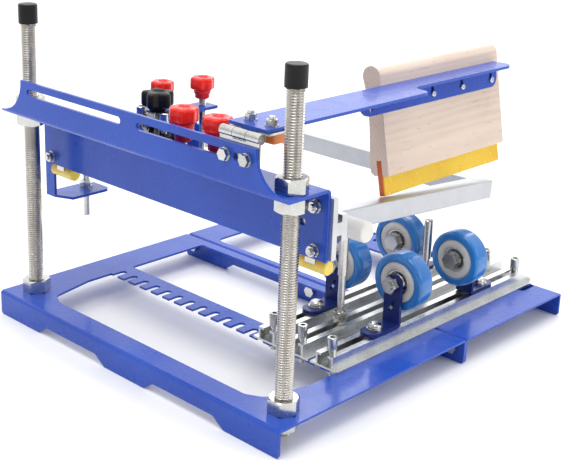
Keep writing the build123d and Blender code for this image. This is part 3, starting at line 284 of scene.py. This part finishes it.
# ---------------------------------------------------------------- threads
def thread_tree():
    """Round bar with a rolled thread, standing on Z, its ends turned down."""
    tree = bpy.data.node_groups.new("threaded_bar", "GeometryNodeTree")
    face = tree.interface
    face.new_socket("Geometry", in_out="OUTPUT", socket_type="NodeSocketGeometry")
    sizes = {}
    for label, kind in (("Radius", "Float"), ("Depth", "Float"), ("Pitch", "Float"), ("Bottom", "Float"),
                        ("Length", "Float"), ("Sides", "Int"), ("Rings", "Int"), ("Finish", "Material")):
        sizes[label] = face.new_socket(label, in_out="INPUT", socket_type=f"NodeSocket{kind}").identifier
    nodes, links = tree.nodes, tree.links
    given = nodes.new("NodeGroupInput").outputs
    out = nodes.new("NodeGroupOutput")

    def sums(operation, a, b=0.0):
        made = nodes.new("ShaderNodeMath")
        made.operation = operation
        for socket, value in zip(made.inputs, (a, b)):
            if isinstance(value, (int, float)):
                socket.default_value = value
            else:
                links.new(value, socket)
        return made.outputs[0]

    bar = nodes.new("GeometryNodeMeshCylinder")
    bar.inputs["Radius"].default_value = 1.0
    links.new(given["Sides"], bar.inputs["Vertices"])
    links.new(given["Rings"], bar.inputs["Side Segments"])
    links.new(given["Length"], bar.inputs["Depth"])
    split = nodes.new("ShaderNodeSeparateXYZ")
    links.new(nodes.new("GeometryNodeInputPosition").outputs[0], split.inputs[0])
    x, y, z = split.outputs
    turn = sums("DIVIDE", sums("ARCTAN2", y, x), math.tau)
    phase = sums("FRACT", sums("SUBTRACT", sums("ADD", sums("DIVIDE", z, given["Pitch"]), 1000.0), turn))
    valley = sums("ABSOLUTE", sums("SUBTRACT", sums("MULTIPLY", phase, 2.0), 1.0))
    slope = sums("SUBTRACT", sums("MULTIPLY", valley, 1.3), 0.18)
    cut = sums("MULTIPLY", sums("MINIMUM", sums("MAXIMUM", slope, 0.0), 1.0), given["Depth"])
    half = sums("DIVIDE", given["Length"], 2.0)
    from_end = sums("SUBTRACT", half, sums("ABSOLUTE", z))
    lead = sums("MAXIMUM", sums("SUBTRACT", sums("MULTIPLY", given["Depth"], 1.4), from_end), 0.0)
    radius = sums("SUBTRACT", given["Radius"], sums("MAXIMUM", cut, lead))
    flat = nodes.new("ShaderNodeCombineXYZ")
    links.new(sums("MULTIPLY", x, radius), flat.inputs[0])
    links.new(sums("MULTIPLY", y, radius), flat.inputs[1])
    links.new(sums("ADD", sums("ADD", z, half), given["Bottom"]), flat.inputs[2])
    move = nodes.new("GeometryNodeSetPosition")
    links.new(bar.outputs["Mesh"], move.inputs["Geometry"])
    links.new(flat.outputs[0], move.inputs["Position"])
    real = nodes.new("GeometryNodeRealizeInstances")
    links.new(move.outputs[0], real.inputs[0])
    coat = nodes.new("GeometryNodeSetMaterial")
    links.new(real.outputs[0], coat.inputs["Geometry"])
    links.new(given["Finish"], coat.inputs["Material"])
    links.new(coat.outputs[0], out.inputs[0])
    return tree, sizes


bar_tree, bar_sizes = thread_tree()


def threaded_bar(name, radius, pitch, bottom, length, finish, place, sides=28, per_turn=6):
    """Plain mesh of one threaded bar, turned and set by the matrix place."""
    holder = bpy.data.objects.new(name + "_maker", bpy.data.meshes.new(name))
    bpy.context.scene.collection.objects.link(holder)
    shape = holder.modifiers.new("threaded_bar", "NODES")
    shape.node_group = bar_tree
    values = {"Radius": radius, "Depth": pitch * 0.58, "Pitch": pitch, "Bottom": bottom, "Length": length,
              "Sides": sides, "Rings": max(2, round(length / pitch * per_turn)), "Finish": finish}
    for label, value in values.items():
        shape[bar_sizes[label]] = value
    graph = bpy.context.evaluated_depsgraph_get()
    mesh = bpy.data.meshes.new_from_object(holder.evaluated_get(graph))
    bpy.data.objects.remove(holder)
    mesh.name = name
    mesh.transform(place)
    made = bpy.data.objects.new(name, mesh)
    bpy.context.scene.collection.objects.link(made)
    return made


for side in ("left", "right"):
    low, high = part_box(f"{side}_threaded_rod")
    centre = (low + high) / 2
    bar = threaded_bar(f"{side}_column_thread", (high.x - low.x) / 2, 2 * MM, low.z, high.z - low.z, rod_steel,
                       Matrix.Translation((centre.x, centre.y, 0)), 36, 7)
    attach(bar, "base")
    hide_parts(f"{side}_threaded_rod")


# ---------------------------------------------------------------- turned and moulded pieces
def finished(name, shape, place, *materials):
    """Mesh object from a bmesh: doubles merged, normals outwards, set in place."""
    bmesh.ops.remove_doubles(shape, verts=shape.verts, dist=1e-6)
    bmesh.ops.recalc_face_normals(shape, faces=shape.faces)
    mesh = bpy.data.meshes.new(name)
    shape.to_mesh(mesh)
    shape.free()
    mesh.transform(place)
    if place.determinant() < 0:
        mesh.flip_normals()
    for material in materials:
        mesh.materials.append(material)
    made = bpy.data.objects.new(name, mesh)
    bpy.context.scene.collection.objects.link(made)
    return made


def lathe(shape, outline, sides=48, wave=None, smooth=True, material=0):
    """Turns an outline of (radius, height) points about Z; wave bends the radius with the angle."""
    rings = []
    for radius, height, *lobed in outline:
        share = lobed[0] if lobed else 0.0
        if radius < 1e-9:
            rings.append([shape.verts.new((0, 0, height))])
            continue
        ring = []
        for step in range(sides):
            angle = math.tau * step / sides
            reach = radius * (1 + (share * wave(angle) if wave else 0))
            ring.append(shape.verts.new((reach * math.cos(angle), reach * math.sin(angle), height)))
        rings.append(ring)
    for low, high in zip(rings, rings[1:]):
        for step in range(sides):
            after = (step + 1) % sides
            corners = [low[step % len(low)], low[after % len(low)], high[after % len(high)], high[step % len(high)]]
            corners = list(dict.fromkeys(corners))
            if len(corners) > 2:
                face = shape.faces.new(corners)
                face.smooth = smooth
                face.material_index = material


def hand_knob(node, body, lobes, depth, head, hub_radius, hub_depth, moulding_finish, name):
    """Lobed hand knob with a stepped hub, a dished cap and a threaded stud, in place of its CAD solid."""
    low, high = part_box(node)
    centre = (low + high) / 2
    radius = (high.x - low.x) / 2
    wave = lambda angle: 0.5 + 0.5 * math.cos(lobes * angle)
    body_low = high.z - head
    shape = bmesh.new()
    edge = radius * 0.16
    waist = 1 - depth
    grip = [(radius * 0.86, body_low), (radius * 0.98, body_low + edge * 0.5), (radius, body_low + edge * 1.2),
            (radius, high.z - edge * 1.3), (radius * 0.97, high.z - edge * 0.6),
            (radius * 0.88, high.z - edge * 0.12)]
    dish = [(radius * 0.55, high.z, 0.0), (radius * 0.42, high.z - 0.4 * MM, 0.0),
            (radius * 0.38, high.z - 1.2 * MM, 0.0), (0.0, high.z - 1.4 * MM)]
    outline = [(0.0, body_low)] + [(r * waist, z, 1 / waist - 1) for r, z in grip] + dish
    lathe(shape, outline, 16 * lobes, wave)
    hub_low = high.z - hub_depth
    step_z = (hub_low + body_low) / 2
    lathe(shape, [(0.0, hub_low), (hub_radius - 0.0008, hub_low), (hub_radius, hub_low + 0.0008),
                  (hub_radius, step_z), (hub_radius * 1.12, step_z + 0.0004), (hub_radius * 1.2, body_low + 0.0004),
                  (0.0, body_low + 0.0005)], 48)
    knob = finished(name, shape, Matrix.Translation((centre.x, centre.y, 0)), moulding_finish)
    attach(knob, body)
    stud = threaded_bar(name + "_stud", 3 * MM, 1 * MM, low.z, hub_low - low.z + 0.0005, zinc_plate,
                        Matrix.Translation((centre.x, centre.y, 0)), 20, 5)
    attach(stud, body)
    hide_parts(node)
    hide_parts(node)


# lobes, depth of the lobes as a share, then head, hub radius and hub depth in millimetres
knob_shapes = {
    "clamp_knob_left": (6, 0.12, 10.0, 6.0, 17.5, red_moulding, "red_plastic"),
    "clamp_knob_right": (6, 0.12, 10.0, 6.0, 17.5, red_moulding, "red_plastic"),
    "flange_knob_left": (7, 0.12, 12.0, 7.0, 26.0, red_moulding, "red_plastic"),
    "flange_knob_right": (7, 0.12, 12.0, 7.0, 26.0, red_moulding, "red_plastic"),
    "lock_knob": (5, 0.30, 13.0, 7.0, 17.0, black_moulding, "black_plastic"),
}
for knob_name, (lobes, depth, head, hub_radius, hub_depth, plastic, slot_name) in knob_shapes.items():
    hand_knob(knob_name, f"{knob_name}_body", lobes, depth, head * MM, hub_radius * MM, hub_depth * MM, plastic,
              f"{knob_name}_moulding")

for corner in ("front_right", "front_left", "rear_right", "rear_left"):
    body = f"wheel_{corner}"
    tyre_low, tyre_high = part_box(f"wheel_tyre_{corner}")
    hub_low, hub_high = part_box(f"wheel_hub_{corner}")
    centre = (tyre_low + tyre_high) / 2
    axle_turn = Matrix.Translation(centre) @ Matrix.Rotation(math.radians(-90), 4, "X")
    radius = (tyre_high.z - tyre_low.z) / 2
    rim = (hub_high.z - hub_low.z) / 2
    half = (tyre_high.y - tyre_low.y) / 2
    shape = bmesh.new()
    shoulder = 3.2 * MM
    arc = [(radius - shoulder + shoulder * math.sin(math.pi / 2 * i / 6),
            half - shoulder + shoulder * math.cos(math.pi / 2 * i / 6)) for i in range(7)]
    outline = [(rim, half)] + [(rim + 1.2 * MM, half)] + arc + [(r, -z) for r, z in reversed(arc)] + [
        (rim + 1.2 * MM, -half), (rim, -half), (rim, half)]
    lathe(shape, outline, 96)
    tyre = finished(f"tyre_{corner}", shape, axle_turn, tyre_rubber)
    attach(tyre, body)
    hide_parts(f"wheel_tyre_{corner}")

    shape = bmesh.new()
    bearing = 11 * MM
    face = half - 0.3 * MM
    outline = [(bearing, face - 0.4 * MM), (bearing + 0.6 * MM, face), (rim - 0.9 * MM, face),
               (rim - 0.02 * MM, face - 0.9 * MM)]
    outline = outline + [(r, -z) for r, z in reversed(outline)] + [outline[0]]
    lathe(shape, outline, 72)
    hub = finished(f"hub_{corner}", shape, axle_turn, hub_plastic)
    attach(hub, body)
    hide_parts(f"wheel_hub_{corner}")
    for side, label in ((1, "outer"), (-1, "inner")):
        shape = bmesh.new()
        top = side * (face - 0.6 * MM)
        deep = side * (face - 1.5 * MM)
        back = side * (face - 6.5 * MM)
        bore = 4.06 * MM
        outer = bearing - 0.02 * MM
        inner_race = [(bore, back), (bore, top), (5.9 * MM, top), (6.1 * MM, top - side * 0.2 * MM)]
        shield = [(6.2 * MM, deep), (8.9 * MM, deep)]
        outer_race = [(9.0 * MM, top - side * 0.2 * MM), (9.2 * MM, top), (bearing - 0.5 * MM, top),
                      (outer, top - side * 0.5 * MM), (outer, back)]
        lathe(shape, inner_race + shield + outer_race + [(bore, back)], 64)
        ring = finished(f"bearing_{corner}_{label}", shape, axle_turn, turned_steel)
        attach(ring, body)


# ---------------------------------------------------------------- floor, light, camera
def plane_object(name, size, centre):
    shape = bmesh.new()
    bmesh.ops.create_grid(shape, x_segments=1, y_segments=1, size=size)
    mesh = bpy.data.meshes.new(name)
    shape.to_mesh(mesh)
    shape.free()
    mesh.transform(Matrix.Translation(centre))
    made = bpy.data.objects.new(name, mesh)
    bpy.context.scene.collection.objects.link(made)
    return made


floor = plane_object("studio_floor", 6.0, (0, 0, cad_box[0][2] - 0.0002))
floor_finish = Recipe("studio_floor")
floor_tones = [(0.3, (0.90, 0.90, 0.90)), (0.7, (0.93, 0.93, 0.93))]
floor_finish.set(Base_Color=floor_finish.ramp(floor_finish.noise(2), floor_tones))
floor_finish.set(Roughness=0.75, Specular_IOR_Level=0.2)
floor.data.materials.append(floor_finish.material)

bpy.context.scene.view_settings.view_transform = "Standard"
world = bpy.data.worlds.new("studio")
bpy.context.scene.world = world
world.use_nodes = True
sky = world.node_tree
direction = sky.nodes.new("ShaderNodeTexCoord").outputs["Generated"]
lift = sky.nodes.new("ShaderNodeVectorMath")
lift.operation = "DOT_PRODUCT"
sky.links.new(direction, lift.inputs[0])
lift.inputs[1].default_value = (-0.32, 0.34, 0.62)
shade = sky.nodes.new("ShaderNodeMapRange")
sky.links.new(lift.outputs["Value"], shade.inputs["Value"])
for key, value in ((1, -0.45), (2, 0.62), (3, 0.25), (4, 1.35)):
    shade.inputs[key].default_value = value
sky.links.new(shade.outputs[0], sky.nodes["Background"].inputs["Strength"])
sky.nodes["Background"].inputs["Color"].default_value = (1.0, 1.0, 1.0, 1)


def softbox(name, place, target, width, height, power):
    """Rectangular area light aimed at a point."""
    light = bpy.data.lights.new(name, "AREA")
    light.shape = "RECTANGLE"
    light.size = width
    light.size_y = height
    light.energy = power
    made = bpy.data.objects.new(name, light)
    made.location = place
    made.rotation_euler = (Vector(target) - Vector(place)).to_track_quat("-Z", "Y").to_euler()
    bpy.context.scene.collection.objects.link(made)


softbox("key_softbox", place=(0.1, -0.4, 1.7), target=(0, 0, 0.1), width=1.1, height=0.9, power=12)
softbox("side_softbox", place=(1.6, 0.5, 0.8), target=(0, 0, 0.12), width=0.9, height=0.8, power=5)
softbox("rear_softbox", place=(-0.7, 1.5, 1.3), target=(0, 0, 0.1), width=1.2, height=0.8, power=8)

azimuth = math.radians(-44.25)
rise = math.radians(18.32)
roll = math.radians(1.64)
forward = Vector((math.sin(azimuth) * math.cos(rise), math.cos(azimuth) * math.cos(rise), -math.sin(rise)))
level = Vector((math.cos(azimuth), -math.sin(azimuth), 0))
upright = level.cross(forward)
right = math.cos(roll) * level + math.sin(roll) * upright
up = math.cos(roll) * upright - math.sin(roll) * level
camera = bpy.data.cameras.new("camera")
camera.sensor_width = 36
camera.lens = 74.1701
camera.shift_x = 0.0584
camera.shift_y = -0.0532
camera.clip_start = 0.01
eye = bpy.data.objects.new("camera", camera)
pose = Matrix((right, up, -forward)).transposed().to_4x4()
pose.translation = Vector((0.6765, -0.7425, 0.4425))
eye.matrix_world = pose
bpy.context.scene.collection.objects.link(eye)
bpy.context.scene.camera = eye
